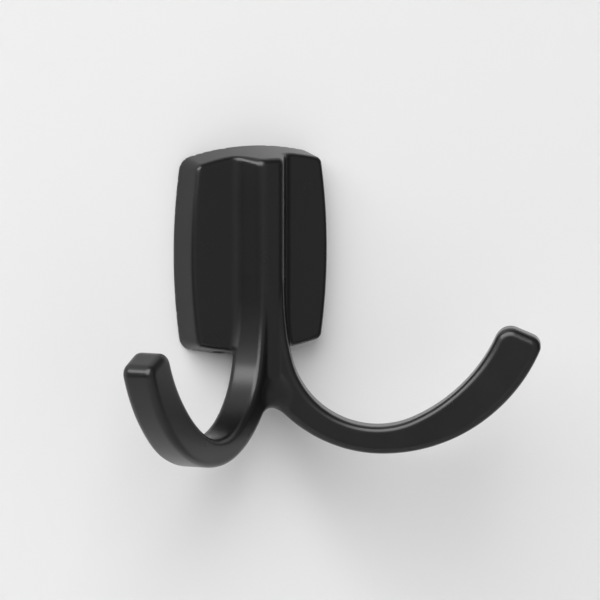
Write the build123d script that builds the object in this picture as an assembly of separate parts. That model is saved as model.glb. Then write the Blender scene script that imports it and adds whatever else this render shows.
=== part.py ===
# Double-prong wall hook: one satin black casting on a concealed wall bracket, locked by two set screws.
# Millimetres. The wall is the plane Y = 0, the hook stands out towards -Y, +Z is up and the origin is the
# centre of the plate's back.
import os
from math import asin, cos, degrees, radians, sin, sqrt, tan

from build123d import *

# Plate: a pillow-shaped rectangle, drafted from its back to its flat front
plate_width = 40.4
plate_height = 50.0
plate_depth = 7.1
side_bow = 1.9
end_bow = 2.4
plate_corner = 4.2
plate_draft = 10.0
plate_edge = 1.0

# Prongs: flat curved bars, each in an upright plane that turns forward from the wall
prong_turn = 32.9
prong_stand = 6.7
bar_thickness = 8.3
bar_edge = 1.6
bottom_height = 6.5
bottom_shift = 1.6
tip_height = 11.0
tip_inner_round = 3.4
tip_outer_round = 3.3

# Course of a prong in its plane: out of the post by an easing arc, round the root arc, up the reach arc
post_reach = 5.9
ease_radius = 62.0
ease_turn = 14.0
root_radius = 21.0
prong_drop = 41.6
reach_radius = 39.5
reach_start = 24.4
tip_rise = 71.0
tip_face = 66.9
crotch_drop = 37.4
crotch_round = 3.0

# Post: flares onto the plate, and its flat front ends in the valley between the prongs
post_flare = 2.2
valley_start = 26.5
valley_round = 9.0
front_recess = 0.03

# Concealed wall bracket: a dovetail plate with two countersunk holes, in a pocket of the plate's back
bracket_width = 26.0
bracket_height = 30.0
bracket_thickness = 3.0
bracket_corner = 2.0
dovetail = 30.0
wall_hole = 4.5
wall_hole_spacing = 16.0
countersink = 8.6
countersink_angle = 90.0
front_room = 1.2
pocket_corner = 1.5
seat_gap = 0.05
side_gap = 0.25
hang_room = 2.2

# Set screws: up through the plate's bottom edge, their points under the bracket's lower bevel
screw_diameter = 3.0
screw_length = 6.0
screw_spacing = 18.0
screw_depth = 2.4
screw_point = 0.5
screw_gap = 0.05
hex_size = 1.5
hex_depth = 2.0

# Selection tolerance for points that lie on a plane
touch = 0.01

# Derived directions and heights
turn = radians(prong_turn)
bevel = tan(radians(dovetail))
half_bar = bar_thickness / 2
half_height = plate_height / 2
half_width = plate_width / 2
prong_plane = Plane(
    origin=(0, -prong_stand, 0),
    x_dir=(cos(turn), -sin(turn), 0),
    z_dir=(-sin(turn), -cos(turn), 0),
)


def along(angle):
    """Unit step from an arc's centre, at an angle in degrees from straight down towards the tip."""
    return Vector(sin(radians(angle)), -cos(radians(angle)))


def arc(centre, radius, start, end):
    """Arc from one angle to another, both measured from straight down towards the tip."""
    return CenterArc(centre, radius, start - 90, end - start)


def pillow(depth):
    """The plate's drafted form, carried on to any depth from the wall."""
    corner_x = half_width - side_bow
    corner_z = half_height - end_bow
    outline = Curve() + [
        ThreePointArc((-corner_x, corner_z), (0, half_height), (corner_x, corner_z)),
        ThreePointArc((corner_x, corner_z), (half_width, 0), (corner_x, -corner_z)),
        ThreePointArc((corner_x, -corner_z), (0, -half_height), (-corner_x, -corner_z)),
        ThreePointArc((-corner_x, -corner_z), (-half_width, 0), (-corner_x, corner_z)),
    ]
    back = make_face(outline)
    back = fillet(back.vertices(), plate_corner)
    return extrude(Plane.XZ * back, amount=depth, taper=plate_draft)


# Arcs of the prong's inner edge, from the post to the tip
ease_angle = ease_turn - 90
low_reach = post_reach + root_radius * cos(radians(ease_turn)) + ease_radius * (1 - cos(radians(ease_turn)))
root_centre = Vector(low_reach, root_radius - prong_drop)
ease_centre = root_centre - (ease_radius - root_radius) * along(ease_angle)
reach_centre = root_centre - (reach_radius - root_radius) * along(reach_start)
tip_inner = reach_centre + reach_radius * along(tip_rise)
tip_outer = tip_inner + tip_height * along(tip_face)

# Its outer edge, from the lowest point round a wide arc to the crotch's small arc and flat ceiling
outer_low = Vector(low_reach + bottom_shift, -prong_drop - bottom_height)
ceiling_end = half_bar * tan(turn)
crotch_centre = Vector(ceiling_end, -crotch_drop - crotch_round)
crotch_rise = -crotch_drop - outer_low.Y
crotch_step = outer_low - crotch_centre
sweep_radius = (crotch_step.length**2 - crotch_round**2) / (2 * crotch_rise)
sweep_centre = outer_low + Vector(0, sweep_radius)
sweep_angle = -degrees(asin((sweep_centre.X - crotch_centre.X) / (sweep_radius + crotch_round)))
behind = -ceiling_end - bar_edge
root_top = ease_centre.Y + bar_thickness

# Depth of the rounding's centre on the post's front corners, and of the post's flat front
corner_y = -prong_stand - (post_reach - bar_edge) * sin(turn) - (half_bar - bar_edge) * cos(turn)
post_front = corner_y - bar_edge


def prong():
    """One prong's bar with rounded edges, cut on the centre plane."""
    inner = [
        Line((behind, root_top), (post_reach, root_top)),
        Line((post_reach, root_top), (post_reach, ease_centre.Y)),
        arc(ease_centre, ease_radius, -90, ease_angle),
        arc(root_centre, root_radius, ease_angle, reach_start),
        arc(reach_centre, reach_radius, reach_start, tip_rise),
        Line(tip_inner, tip_outer),
    ]
    outer = [
        TangentArc(outer_low, tip_outer, tangent=(1, 0)),
        arc(sweep_centre, sweep_radius, sweep_angle, 0),
        arc(crotch_centre, crotch_round, sweep_angle + 180, 180),
        Line((ceiling_end, -crotch_drop), (behind, -crotch_drop)),
        Line((behind, -crotch_drop), (behind, root_top)),
    ]
    side = make_face(Curve() + inner + outer)
    side = fillet(side.vertices().sort_by_distance(tip_inner)[:1], tip_inner_round)
    side = fillet(side.vertices().sort_by_distance(tip_outer)[:1], tip_outer_round)
    bar = extrude(prong_plane * side, amount=half_bar, both=True)
    long_edges = [
        edge
        for face in bar.faces().filter_by(Axis((0, 0, 0), prong_plane.z_dir))
        for edge in face.edges()
        if prong_plane.to_local_coords(edge.center()).X > behind + touch
        and edge.center().Z < root_top - touch
    ]
    bar = fillet(long_edges, bar_edge)
    return split(bar, Plane.YZ, keep=Keep.TOP)


def post():
    """The post's section with its flares, trimmed to the plate's drafted ends."""
    side_step = (plate_depth - prong_stand - post_reach * sin(turn)) / cos(turn)
    base_x = post_reach * cos(turn) - side_step * sin(turn)
    front_x = base_x - (-post_front - plate_depth) * tan(turn)
    slab_x = base_x + post_flare
    slab_y = -plate_depth / 2
    section = make_face(
        Polyline(
            (-slab_x, slab_y),
            (slab_x, slab_y),
            (slab_x, -plate_depth),
            (base_x, -plate_depth),
            (front_x, post_front),
            (-front_x, post_front),
            (-base_x, -plate_depth),
            (-slab_x, -plate_depth),
            close=True,
        )
    )
    bases = [vertex for vertex in section.vertices() if abs(abs(vertex.X) - base_x) < touch]
    section = fillet(bases, post_flare)
    fronts = section.vertices().sort_by(Axis.Y)[:2]
    section = fillet(fronts, bar_edge)
    column = extrude(section, amount=plate_height, both=True)
    return column & pillow(bar_edge - post_front)


def tongue():
    """Half of the wedge that carries the post's flat front down between the prongs and ends in the valley."""
    inset_ease = ease_radius + bar_edge
    inset_root = root_radius + bar_edge
    inset_reach = post_reach - bar_edge
    last_angle = ease_angle / 2
    last = root_centre + inset_root * along(last_angle)
    side = make_face(
        Curve()
        + [
            Line((0, root_top), (inset_reach, root_top)),
            Line((inset_reach, root_top), (inset_reach, ease_centre.Y)),
            arc(ease_centre, inset_ease, -90, ease_angle),
            arc(root_centre, inset_root, ease_angle, last_angle),
            Line(last, (0, last.Y)),
            Line((0, last.Y), (0, root_top)),
        ]
    )
    front_line = Plane(
        origin=prong_plane.origin
        + (half_bar - bar_edge) * prong_plane.z_dir
        + Vector(0, front_recess - bar_edge, 0),
        x_dir=prong_plane.x_dir,
        z_dir=prong_plane.z_dir,
    )
    wedge = extrude(front_line * side, amount=plate_width, dir=(-1, 0, 0))
    valley_reach = root_centre.X - sqrt(inset_root**2 - (valley_start + root_centre.Y) ** 2)
    valley_y = post_front - (valley_reach - inset_reach) * sin(turn) + valley_round
    reach = 2 * plate_width
    above = Pos(0, 0, reach / 2 - valley_start) * Box(reach, reach, reach)
    end = Pos(0, valley_y, -valley_start) * Rot(0, 90, 0) * Cylinder(valley_round, reach)
    return split(wedge, Plane.YZ, keep=Keep.TOP) & (above + end)


def dovetail_block(width, depth, top, top_slope, bottom, bottom_slope, corner):
    """Block on the wall plane whose top and bottom slope outwards with depth, its four corners rounded."""
    section = make_face(
        Polyline(
            (0, top),
            (-depth, top + depth * top_slope),
            (-depth, -bottom - depth * bottom_slope),
            (0, -bottom),
            close=True,
        )
    )
    block = extrude(Plane.YZ * section, amount=width / 2, both=True)
    corners = [
        edge
        for edge in block.edges()
        if abs(abs(edge.center().X) - width / 2) < touch and abs(edge.tangent_at(0).Z) < cos(radians(dovetail))
    ]
    return fillet(corners, corner)


def wall_bracket():
    """The dovetail plate that is screwed to the wall, countersunk from its front."""
    bracket = dovetail_block(
        bracket_width, bracket_thickness, bracket_height / 2, bevel, bracket_height / 2, bevel, bracket_corner
    )
    for height in (-wall_hole_spacing / 2, wall_hole_spacing / 2):
        seat = Plane(origin=(0, -bracket_thickness, height), z_dir=(0, -1, 0))
        bracket -= seat * CounterSinkHole(wall_hole / 2, countersink / 2, bracket_thickness, countersink_angle)
    return bracket


def pocket():
    """The hollow in the plate's back: its sloped lip hangs on the bracket, with room below to lift it on."""
    floor = bracket_height / 2 + bracket_thickness * bevel + hang_room
    return dovetail_block(
        bracket_width + 2 * side_gap,
        bracket_thickness + front_room,
        bracket_height / 2 + seat_gap,
        bevel,
        floor,
        0,
        pocket_corner,
    )


def at_screws(solid):
    """A solid on the Z axis, put at both set screws with its top under the bracket's lower bevel."""
    top = -bracket_height / 2 - (screw_depth + screw_point) * bevel - seat_gap
    return [Pos(side * screw_spacing / 2, -screw_depth, top) * solid for side in (-1, 1)]


def set_screw():
    """A socket set screw with a cone point, its top at the origin."""
    shank = Pos(0, 0, -screw_length / 2) * Cylinder(screw_diameter / 2, screw_length)
    shank = chamfer(shank.edges().sort_by(Axis.Z)[-1], screw_diameter / 2 - screw_point)
    key = Plane.XY.offset(-screw_length) * RegularPolygon(hex_size / 2, 6, major_radius=False)
    return shank - extrude(key, amount=hex_depth)


def screw_hole():
    """The hole for one set screw, down through the plate's bottom edge."""
    return Pos(0, 0, -half_height / 2) * Cylinder(screw_diameter / 2 + screw_gap, half_height)


plate_and_post = pillow(plate_depth) + post()
rim = [
    edge
    for face in plate_and_post.faces()
    if face.vertices().sort_by(Axis.Y)[-1].Y > -touch and face.center().Y < -touch
    for edge in face.edges()
    if edge.vertices().sort_by(Axis.Y)[-1].Y < -touch
]
plate_and_post = fillet(rim, plate_edge)
right_prong = prong()
half_tongue = tongue()
halves = [right_prong, mirror(right_prong, about=Plane.YZ), half_tongue, mirror(half_tongue, about=Plane.YZ)]
casting = plate_and_post + halves - pocket() - at_screws(screw_hole())

os.makedirs("parts", exist_ok=True)
export_step(casting, "parts/hook_casting.step")
export_step(wall_bracket(), "parts/wall_bracket.step")
for side, screw in zip(("left", "right"), at_screws(set_screw())):
    export_step(screw, f"parts/set_screw_{side}.step")
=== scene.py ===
from math import cos, pi, radians, sin, tan

import bpy
import numpy as np
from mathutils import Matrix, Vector


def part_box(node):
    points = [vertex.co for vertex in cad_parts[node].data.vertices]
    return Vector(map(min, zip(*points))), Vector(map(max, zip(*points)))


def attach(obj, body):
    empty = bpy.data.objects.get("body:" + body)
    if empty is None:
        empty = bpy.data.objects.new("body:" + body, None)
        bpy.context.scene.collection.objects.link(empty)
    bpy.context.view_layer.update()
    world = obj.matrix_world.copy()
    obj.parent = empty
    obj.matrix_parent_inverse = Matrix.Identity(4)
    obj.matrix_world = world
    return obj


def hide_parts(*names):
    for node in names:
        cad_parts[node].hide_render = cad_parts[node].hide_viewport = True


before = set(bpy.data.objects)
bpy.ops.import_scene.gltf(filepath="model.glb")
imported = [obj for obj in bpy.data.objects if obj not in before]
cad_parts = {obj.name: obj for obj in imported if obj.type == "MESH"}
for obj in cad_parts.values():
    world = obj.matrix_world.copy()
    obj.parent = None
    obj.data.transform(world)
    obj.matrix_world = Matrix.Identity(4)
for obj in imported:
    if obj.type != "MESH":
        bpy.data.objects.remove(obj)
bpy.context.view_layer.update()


# Wall bracket
# A small dovetail plate, pressed from sheet steel and zinc plated. Two countersunk screws hold it to the
# wall, and the casting's pocket hangs over it, so it shows from behind only. Its CAD form is right and stays.
def new_material(name):
    """A material with its nodes, its links and its main shader."""
    material = bpy.data.materials.new(name)
    material.use_nodes = True
    tree = material.node_tree
    return material, tree.nodes, tree.links, tree.nodes["Principled BSDF"]


def grained_finish(name, patch_scale, grain_scale, tones, roughness, grain_height, metallic):
    """A finish whose tone and gloss drift in soft patches, over a fine grain that stands up a little."""
    material, nodes, links, shader = new_material(name)
    shader.inputs["Metallic"].default_value = metallic
    place = nodes.new("ShaderNodeTexCoord")
    patches = nodes.new("ShaderNodeTexNoise")
    patches.inputs["Scale"].default_value = patch_scale
    patches.inputs["Detail"].default_value = 3
    grain = nodes.new("ShaderNodeTexNoise")
    grain.inputs["Scale"].default_value = grain_scale
    grain.inputs["Detail"].default_value = 2
    tone = nodes.new("ShaderNodeValToRGB")
    tone.color_ramp.elements[0].color = (*tones[0], 1)
    tone.color_ramp.elements[1].color = (*tones[1], 1)
    gloss = nodes.new("ShaderNodeMapRange")
    gloss.inputs["To Min"].default_value = roughness[0]
    gloss.inputs["To Max"].default_value = roughness[1]
    bump = nodes.new("ShaderNodeBump")
    bump.inputs["Strength"].default_value = 0.12
    bump.inputs["Distance"].default_value = grain_height
    links.new(place.outputs["Object"], patches.inputs["Vector"])
    links.new(place.outputs["Object"], grain.inputs["Vector"])
    links.new(patches.outputs["Fac"], tone.inputs["Fac"])
    links.new(patches.outputs["Fac"], gloss.inputs["Value"])
    links.new(grain.outputs["Fac"], bump.inputs["Height"])
    links.new(tone.outputs["Color"], shader.inputs["Base Color"])
    links.new(gloss.outputs["Result"], shader.inputs["Roughness"])
    links.new(bump.outputs["Normal"], shader.inputs["Normal"])
    return material


zinc_dark, zinc_light = (0.52, 0.53, 0.56), (0.66, 0.67, 0.69)
zinc = grained_finish(
    "zinc_plate",
    patch_scale=240,
    grain_scale=1800,
    tones=(zinc_dark, zinc_light),
    roughness=(0.28, 0.42),
    grain_height=0.00006,
    metallic=1.0,
)
for material_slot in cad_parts["wall_bracket"].material_slots:
    material_slot.material = zinc


# Hook casting
# One zinc die casting: a drafted pillow plate, a post down its front and two prongs that fork from it.
# It is tumbled smooth, so its inside corners are soft, and then coated satin black all over. Sizes are in mm.
plate_width, plate_height, plate_depth = 40.4, 50.0, 7.1
side_bow, end_bow, plate_corner = 1.9, 2.4, 2.2
plate_draft = radians(10.0)
plate_edge, post_top_edge, back_edge = 1.0, 1.6, 0.3

# The post, and the upright planes that the prongs lie in.
prong_turn = radians(32.9)
prong_stand, half_bar, bar_edge = 6.7, 4.15, 1.3
post_reach, post_edge, post_flare = 5.9, 1.4, 1.4
sink_depth, sink_height, edge_start = 0.4, 14.0, 30.0

# A prong's inner edge eases out of the post, goes round the root and along the reach, and ends at the tip.
ease_radius, ease_turn = 62.0, radians(14.0)
root_radius, prong_drop = 21.0, 41.6
reach_radius, reach_start = 39.5, radians(24.4)
tip_rise, tip_face, tip_height = radians(71.0), radians(66.9), 11.0
tip_inner_round, tip_outer_round, tip_edge = 3.9, 2.7, 1.9

# A prong's outer edge, and the fork where the two meet in a valley and a rounded crotch.
bottom_height, bottom_shift, crotch_drop = 6.53, 1.3, 35.2
valley_start, valley_sweep, valley_round = 29.0, 24.0, 2.5
crotch_round, crotch_start, crotch_full = 6.0, 24.0, 35.0
crotch_edge, crotch_blend, half_overlap = 2.0, 2.0, 6.0

# The pocket in the back for the bracket, and the holes for the set screws.
bracket_height, bracket_thickness, dovetail = 30.0, 3.0, radians(30.0)
pocket_half_width, pocket_depth, pocket_corner = 13.25, 4.2, 1.5
seat_gap, hang_room = 0.05, 2.2
screw_spacing, screw_depth, screw_hole = 18.0, 2.4, 3.1

# The mesh: its grid, the step for finding a slope, the least squared slope, and a radius that rounds nothing.
cell, probe, least_slope, hair = 0.4, 0.02, 0.25, 1e-3
settle_rounds, spread_rounds = 4, 3


def along(angle):
    """Unit step in a prong's plane, at an angle from straight down towards the tip."""
    return np.array([sin(angle), -cos(angle)])


ease_angle = ease_turn - pi / 2
low_reach = post_reach + root_radius * cos(ease_turn) + ease_radius * (1 - cos(ease_turn))
root_centre = np.array([low_reach, root_radius - prong_drop])
ease_centre = root_centre - (ease_radius - root_radius) * along(ease_angle)
reach_centre = root_centre - (reach_radius - root_radius) * along(reach_start)
tip_inner = reach_centre + reach_radius * along(tip_rise)
tip_outer = tip_inner + tip_height * along(tip_face)
outer_low = np.array([low_reach + bottom_shift, -prong_drop - bottom_height])
tip_step = tip_outer - outer_low
crotch_step = np.array([half_bar * tan(prong_turn), -crotch_drop]) - outer_low
tip_sweep = tip_step @ tip_step / (2 * tip_step[1])
root_sweep = crotch_step @ crotch_step / (2 * crotch_step[1])
post_depth = (
    prong_stand
    + (post_reach - post_edge) * sin(prong_turn)
    + (half_bar - post_edge) * cos(prong_turn)
    + post_edge
)


def ramp(start, end, value):
    """Smooth step from 0 at start to 1 at end."""
    t = np.clip((value - start) / (end - start), 0, 1)
    return t * t * (3 - 2 * t)


def meet(a, b, radius):
    """What lies inside both fields, with the outside edge between them rounded."""
    a, b = a + radius, b + radius
    return np.minimum(np.maximum(a, b), 0) + np.hypot(np.maximum(a, 0), np.maximum(b, 0)) - radius


def join(a, b, radius):
    """What lies inside either field, with the inside corner between them filleted."""
    return -meet(-a, -b, radius)


def prong_fields(x, depth, z):
    """Outer edge and whole bar of the right prong, which runs on a little past the centre plane."""
    forward = depth - prong_stand
    s = x * cos(prong_turn) + forward * sin(prong_turn)
    n = forward * cos(prong_turn) - x * sin(prong_turn)
    angle = np.arctan2(s - root_centre[0], root_centre[1] - z)
    straight = s - post_reach
    eased = ease_radius - np.hypot(s - ease_centre[0], z - ease_centre[1])
    rooted = root_radius - np.hypot(s - root_centre[0], z - root_centre[1])
    reached = reach_radius - np.hypot(s - reach_centre[0], z - reach_centre[1])
    entry = np.where(z > ease_centre[1], straight, eased)
    inner = np.where(angle < ease_angle, entry, np.where(angle > reach_start, reached, rooted))
    sweep = np.where(s < outer_low[0], root_sweep, tip_sweep)
    outer = np.hypot(s - outer_low[0], z - outer_low[1] - sweep) - sweep
    end = (s - tip_inner[0]) * cos(tip_face) + (z - tip_inner[1]) * sin(tip_face)
    profile = np.maximum(meet(inner, end, tip_inner_round), meet(outer, end, tip_outer_round))
    root_edge = post_edge + (bar_edge - post_edge) * ramp(-edge_start, -prong_drop, z)
    edge = np.where(s > low_reach, bar_edge, root_edge)
    edge = edge + (tip_edge - bar_edge) * ramp(tip_inner[0] - tip_height, tip_inner[0], s)
    lower_side = ramp(-crotch_blend, crotch_blend, outer - inner) * ramp(low_reach, 0, s)
    edge = edge + (crotch_edge - bar_edge) * lower_side
    bar = meet(profile, np.abs(n) - half_bar, edge) + sink_depth * ramp(-sink_height, 0, z)
    return outer, np.maximum(np.maximum(bar, z), -x - half_overlap)


def pocket_field(x, depth, z):
    """The pocket that hangs over the bracket, dovetailed at its top, and the two screw holes below it."""
    lip = bracket_height / 2 + seat_gap
    pocket_drop = bracket_height / 2 + bracket_thickness * tan(dovetail) + hang_room
    ends = np.maximum((z - lip) * cos(dovetail) - depth * sin(dovetail), -z - pocket_drop)
    walls = meet(np.abs(x) - pocket_half_width, ends, pocket_corner)
    pocket = meet(walls, depth - pocket_depth, back_edge)
    bore = np.hypot(np.abs(x) - screw_spacing / 2, depth - screw_depth) - screw_hole / 2
    return np.minimum(pocket, np.maximum(bore, z + lip))


def casting_field(points):
    """Signed distance to the casting's skin in mm, below zero inside it."""
    x, depth, z = points[..., 0], -points[..., 1], points[..., 2]

    # The plate's bowed, drafted outline, with the post standing on its front.
    side_arc = (side_bow**2 + (plate_height / 2 - end_bow) ** 2) / (2 * side_bow)
    end_arc = (end_bow**2 + (plate_width / 2 - side_bow) ** 2) / (2 * end_bow)
    sides = np.hypot(np.abs(x) + side_arc - plate_width / 2, z) - side_arc
    ends = np.hypot(x, np.abs(z) + end_arc - plate_height / 2) - end_arc
    drafted = meet(sides, ends, plate_corner) * cos(plate_draft) + depth * sin(plate_draft)
    post_side = np.abs(x) * cos(prong_turn) + (depth - prong_stand) * sin(prong_turn) - post_reach
    post = meet(post_side, depth - post_depth, post_edge)
    front = join(depth - plate_depth, post, post_flare)
    rim = plate_edge + (post_top_edge - plate_edge) * ramp(plate_depth, post_depth, depth)
    upper = meet(drafted, front, rim)

    # The two prongs, rounded where they part at the crotch.
    right_outer, right = prong_fields(x, depth, z)
    left_outer, left = prong_fields(-x, depth, z)
    crotch = crotch_round * ramp(-crotch_start, -crotch_full, z) + hair
    outer = join(right_outer, left_outer, crotch)
    prongs = join(right, left, crotch)

    # The post runs on below the plate and sinks back between the prongs, which leaves the valley.
    recess = np.maximum(-z - valley_start, 0) ** 2 / (2 * valley_sweep)
    fading = meet(post_side, depth + recess - post_depth, post_edge)
    behind = np.abs(x) * sin(prong_turn) - (depth - prong_stand) * cos(prong_turn)
    lower_post = meet(fading, outer + valley_round, post_edge)
    lower_post = np.maximum(np.maximum(lower_post, behind), z + plate_height / 3)
    valley = valley_round * ramp(-valley_start, -crotch_drop, z) + hair
    stem = join(prongs, lower_post, valley)

    # All of it as one body, cut flat at the wall and cored from behind.
    plate = meet(drafted, depth - plate_depth, plate_edge)
    body = np.minimum(upper, join(plate, stem, post_flare))
    body = meet(body, -depth, back_edge)
    return meet(body, -pocket_field(x, depth, z), back_edge)


def settle(points, rounds):
    """Moves points along the field's slope onto the casting's skin."""
    for _ in range(rounds):
        slope = np.empty_like(points)
        for axis in range(3):
            step = np.zeros(3)
            step[axis] = probe
            slope[:, axis] = (casting_field(points + step) - casting_field(points - step)) / (2 * probe)
        reach = casting_field(points) / np.maximum((slope**2).sum(1), least_slope)
        points = points - np.clip(reach, -cell, cell)[:, None] * slope
    return points


def casting_skin():
    """Points and quads of the casting: one point in each grid cell that the skin crosses and one quad round
    each grid edge that it cuts. The points are then spread evenly over the skin."""
    low, high = (np.array(corner) * 1000 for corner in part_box("hook_casting"))
    half_steps = int(high[0] / cell) + 3
    xs = (np.arange(-half_steps, half_steps) + 0.5) * cell
    ys = np.arange(low[1] - 2 * cell, high[1] + 3 * cell, cell)
    zs = np.arange(low[2] - 2 * cell, high[2] + 3 * cell, cell)
    sheet = np.stack(np.meshgrid(ys, zs, indexing="ij"), axis=-1)
    half = []
    for x in xs[half_steps:]:
        slice_points = np.concatenate([np.full(sheet.shape[:2] + (1,), x), sheet], axis=-1)
        half.append(casting_field(slice_points) < 0)
    inside = np.array(half[::-1] + half)
    corners = sum(
        inside[i : i - 1 or None, j : j - 1 or None, k : k - 1 or None].astype(int)
        for i in (0, 1)
        for j in (0, 1)
        for k in (0, 1)
    )
    crossed = (corners > 0) & (corners < 8)
    number = np.full(crossed.shape, -1)
    number[crossed] = np.arange(crossed.sum())
    cells = np.argwhere(crossed)
    points = np.stack([xs[cells[:, 0]], ys[cells[:, 1]], zs[cells[:, 2]]], axis=1) + cell / 2
    quads = []
    for axis in range(3):
        before = np.moveaxis(inside, axis, 0)[:-1, 1:-1, 1:-1]
        after = np.moveaxis(inside, axis, 0)[1:, 1:-1, 1:-1]
        ids = np.moveaxis(number, axis, 0)
        ring = np.stack([ids[:, :-1, :-1], ids[:, 1:, :-1], ids[:, 1:, 1:], ids[:, :-1, 1:]], axis=-1)
        turned = ring[..., ::-1]
        leaving, entering = before & ~after, after & ~before
        if axis == 1:
            leaving, entering = entering, leaving
        quads += [ring[leaving], turned[entering]]
    quads = np.concatenate(quads)
    points = settle(points, settle_rounds)
    edges = np.concatenate([quads[:, [i, (i + 1) % 4]] for i in range(4)])
    for _ in range(spread_rounds):
        total, count = np.zeros_like(points), np.zeros(len(points))
        np.add.at(total, edges[:, 0], points[edges[:, 1]])
        np.add.at(count, edges[:, 0], 1)
        points = settle((points + total / count[:, None]) / 2, settle_rounds // 2)
    return points / 1000, quads.tolist()


def mesh_piece(name, points, faces, material):
    """A smooth mesh object at the origin, from points in metres and faces as lists of corners."""
    mesh = bpy.data.meshes.new(name)
    mesh.from_pydata(points.tolist(), [], faces)
    mesh.shade_smooth()
    mesh.materials.append(material)
    piece = bpy.data.objects.new(name, mesh)
    bpy.context.collection.objects.link(piece)
    return piece


coat_dark, coat_light = (0.0035, 0.0035, 0.0040), (0.0055, 0.0055, 0.0061)
satin_black = grained_finish(
    "satin_black",
    patch_scale=90,
    grain_scale=2600,
    tones=(coat_dark, coat_light),
    roughness=(0.25, 0.32),
    grain_height=0.00005,
    metallic=0.0,
)
hook_casting = mesh_piece("hook_casting_skin", *casting_skin(), satin_black)
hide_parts("hook_casting")
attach(hook_casting, "root")


# Set screws
# Two M3 socket set screws in black oxide steel, with a rolled thread and a turned cone point. They go up
# through the plate's bottom edge until they press on the bracket's lower bevel and lock the casting down.
thread_pitch, thread_depth, thread_flat, rows_per_turn = 0.5, 0.31, 0.125, 8
screw_sides, screw_point, end_chamfer = 36, 0.5, 0.3
hex_size, hex_depth = 1.5, 2.0
sharp_angle = radians(35)


def set_screw():
    """Points and faces of the left screw: rings from the cone point, down the thread and into the socket."""
    low, high = (np.array(corner) * 1000 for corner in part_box("set_screw_left"))
    centre, radius = (low + high) / 2, (high[0] - low[0]) / 2
    turns = np.arange(screw_sides) / screw_sides
    row_count = round((high[2] - low[2]) / thread_pitch * rows_per_turn) + 1
    rows = np.linspace(high[2], low[2], row_count)
    wave = np.abs((rows[:, None] / thread_pitch - turns) % 1 - 0.5) * 2
    thread = radius - thread_depth * np.clip((1 + 2 * thread_flat) * wave - thread_flat, 0, 1)
    ends = np.minimum(screw_point + high[2] - rows, radius - end_chamfer + rows - low[2])
    hexagon = hex_size / 2 / np.cos((turns * 2 * pi + pi / 6) % (pi / 3) - pi / 6)
    rings = np.concatenate([np.minimum(thread, ends[:, None]), [hexagon, hexagon]])
    heights = np.concatenate([rows, [low[2], low[2] + hex_depth]])
    xs = centre[0] + rings * np.cos(turns * 2 * pi)
    ys = centre[1] + rings * np.sin(turns * 2 * pi)
    points = np.stack([xs, ys, np.broadcast_to(heights[:, None], rings.shape)], axis=-1).reshape(-1, 3)
    caps = [[centre[0], centre[1], heights[0]], [centre[0], centre[1], heights[-1]]]
    first, last = len(points), len(points) + 1
    faces = []
    for j in range(screw_sides):
        k = (j + 1) % screw_sides
        faces.append([first, j, k])
        for ring in range(0, len(points) - screw_sides, screw_sides):
            faces.append([ring + j, ring + screw_sides + j, ring + screw_sides + k, ring + k])
        faces.append([last, len(points) - screw_sides + k, len(points) - screw_sides + j])
    return np.concatenate([points, caps]) / 1000, faces


def row_tree():
    """Geometry Nodes: a row of copies of one piece along X."""
    tree = bpy.data.node_groups.new("row_of_copies", "GeometryNodeTree")
    tree.interface.new_socket("Piece", in_out="INPUT", socket_type="NodeSocketGeometry")
    tree.interface.new_socket("Count", in_out="INPUT", socket_type="NodeSocketInt")
    tree.interface.new_socket("Spacing", in_out="INPUT", socket_type="NodeSocketFloat")
    tree.interface.new_socket("Material", in_out="INPUT", socket_type="NodeSocketMaterial")
    tree.interface.new_socket("Row", in_out="OUTPUT", socket_type="NodeSocketGeometry")
    given = tree.nodes.new("NodeGroupInput")
    made = tree.nodes.new("NodeGroupOutput")
    step = tree.nodes.new("ShaderNodeCombineXYZ")
    places = tree.nodes.new("GeometryNodeMeshLine")
    copies = tree.nodes.new("GeometryNodeInstanceOnPoints")
    real = tree.nodes.new("GeometryNodeRealizeInstances")
    finish = tree.nodes.new("GeometryNodeSetMaterial")
    tree.links.new(given.outputs["Spacing"], step.inputs["X"])
    tree.links.new(given.outputs["Count"], places.inputs["Count"])
    tree.links.new(step.outputs["Vector"], places.inputs["Offset"])
    tree.links.new(places.outputs["Mesh"], copies.inputs["Points"])
    tree.links.new(given.outputs["Piece"], copies.inputs["Instance"])
    tree.links.new(copies.outputs["Instances"], real.inputs["Geometry"])
    tree.links.new(real.outputs["Geometry"], finish.inputs["Geometry"])
    tree.links.new(given.outputs["Material"], finish.inputs["Material"])
    tree.links.new(finish.outputs["Geometry"], made.inputs["Row"])
    return tree


steel_dark, steel_light = (0.16, 0.16, 0.17), (0.24, 0.24, 0.25)
black_steel = grained_finish(
    "black_oxide_steel",
    patch_scale=900,
    grain_scale=4000,
    tones=(steel_dark, steel_light),
    roughness=(0.36, 0.50),
    grain_height=0.00002,
    metallic=1.0,
)
set_screws = mesh_piece("set_screws_threaded", *set_screw(), black_steel)
row = set_screws.modifiers.new("row_of_copies", "NODES")
row.node_group = row_tree()
row_sizes = {"Count": 2, "Spacing": screw_spacing / 1000, "Material": black_steel}
for socket in row.node_group.interface.items_tree:
    if socket.name in row_sizes:
        row[socket.identifier] = row_sizes[socket.name]
bpy.context.view_layer.update()
evaluated = bpy.context.evaluated_depsgraph_get()
both_screws = bpy.data.meshes.new_from_object(set_screws.evaluated_get(evaluated), depsgraph=evaluated)
set_screws.modifiers.remove(row)
set_screws.data = both_screws
both_screws.set_sharp_from_angle(angle=sharp_angle)
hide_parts("set_screw_left", "set_screw_right")
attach(set_screws, "root")


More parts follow.
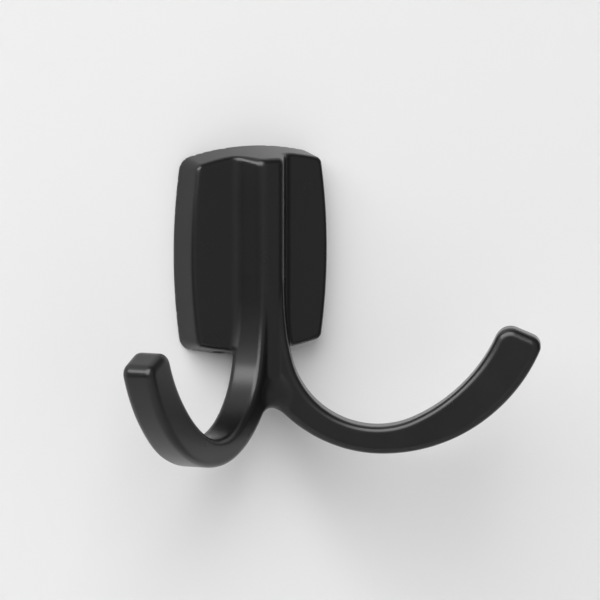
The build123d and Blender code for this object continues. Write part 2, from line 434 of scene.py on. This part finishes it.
# Wall and floor
# A plain pale painted wall that the hook is fixed to, with a pale floor far below. Both show to the room side
# only, and the wall is left open behind the plate, where it never shows, so that light reaches the back.
def pale_paint(name, colour):
    """Matt paint that is clear when it is seen from behind."""
    material, nodes, links, paint = new_material(name)
    paint.inputs["Base Color"].default_value = (*colour, 1)
    paint.inputs["Roughness"].default_value = 0.9
    paint.inputs["Specular IOR Level"].default_value = 0.1
    clear = nodes.new("ShaderNodeBsdfTransparent")
    facing = nodes.new("ShaderNodeNewGeometry")
    mix = nodes.new("ShaderNodeMixShader")
    links.new(facing.outputs["Backfacing"], mix.inputs["Fac"])
    links.new(paint.outputs["BSDF"], mix.inputs[1])
    links.new(clear.outputs["BSDF"], mix.inputs[2])
    links.new(mix.outputs["Shader"], nodes["Material Output"].inputs["Surface"])
    return material


wall_gap, floor_drop, stage_reach = 0.0002, 1.6, 4.0
wall_grey, floor_grey = (0.86, 0.86, 0.86), (0.60, 0.60, 0.60)
corner_inset, side_inset = 0.7, 0.8
opening_corner = (plate_width / 2 - side_bow - corner_inset, plate_height / 2 - end_bow - corner_inset)
opening_side, opening_end = plate_width / 2 - side_inset, plate_height / 2 - side_inset
opening, outside = [], []
for side, end in ((-1, -1), (0, -1), (1, -1), (1, 0), (1, 1), (0, 1), (-1, 1), (-1, 0)):
    across = opening_corner[0] if end else opening_side
    up = opening_corner[1] if side else opening_end
    opening.append((side * across / 1000, wall_gap, end * up / 1000))
    outside.append((side * stage_reach, wall_gap, -floor_drop if end < 0 else end * stage_reach))
count = len(opening)
wall_faces = [[count + i, count + (i + 1) % count, (i + 1) % count, i] for i in range(count)]
wall = mesh_piece("wall", np.array(opening + outside), wall_faces, pale_paint("pale_wall", wall_grey))
floor_corners = [
    (-stage_reach, -stage_reach, -floor_drop),
    (stage_reach, -stage_reach, -floor_drop),
    (stage_reach, wall_gap, -floor_drop),
    (-stage_reach, wall_gap, -floor_drop),
]
floor = mesh_piece("floor", np.array(floor_corners), [[0, 1, 2, 3]], pale_paint("pale_floor", floor_grey))


# Light
# A large soft key from the upper left in front, weaker soft lights above, on the left and far in front, and
# an even pale room. One more soft light stands behind the wall and shows the hook's back.
def soft_light(name, place, size, power):
    """A square soft light that is turned to the origin."""
    lamp = bpy.data.lights.new(name, "AREA")
    lamp.shape = "SQUARE"
    lamp.size = size
    lamp.energy = power
    stand = bpy.data.objects.new(name, lamp)
    stand.location = place
    stand.rotation_euler = (-Vector(place)).to_track_quat("-Z", "Y").to_euler()
    bpy.context.collection.objects.link(stand)


room_level = 0.13
soft_light("overhead", place=(-0.5, -0.9, 1.3), size=1.2, power=4)
soft_light("left", place=(-1.2, -0.1, 0.75), size=0.5, power=6)
soft_light("front", place=(0.3, -3.4, 0.2), size=5.0, power=24)
soft_light("key", place=(-2.98, -2.72, 2.89), size=4.5, power=290)
soft_light("behind", place=(0.9, 1.8, 0.9), size=3.6, power=30)
world = bpy.data.worlds.new("room")
world.use_nodes = True
world.node_tree.nodes["Background"].inputs["Color"].default_value = (1, 1, 1, 1)
world.node_tree.nodes["Background"].inputs["Strength"].default_value = room_level
bpy.context.scene.world = world


# Camera
# The photograph's view: from the left and a little above, through a long lens.
picture_width, sensor = 600, 36.0
turn, rise = radians(31.74), radians(6.59)
distance, focal_pixels = 3.0, 12589.29
target = Vector((0.00304, -0.020, -0.01042))
sight = Vector((sin(turn) * cos(rise), cos(turn) * cos(rise), -sin(rise)))
lens = bpy.data.cameras.new("camera")
lens.sensor_width = sensor
lens.lens = focal_pixels * sensor / picture_width
lens.clip_end = 20
camera = bpy.data.objects.new("camera", lens)
camera.location = target - distance * sight
camera.rotation_euler = sight.to_track_quat("-Z", "Y").to_euler()
bpy.context.collection.objects.link(camera)
bpy.context.scene.camera = camera
bpy.context.scene.view_settings.view_transform = "Standard"
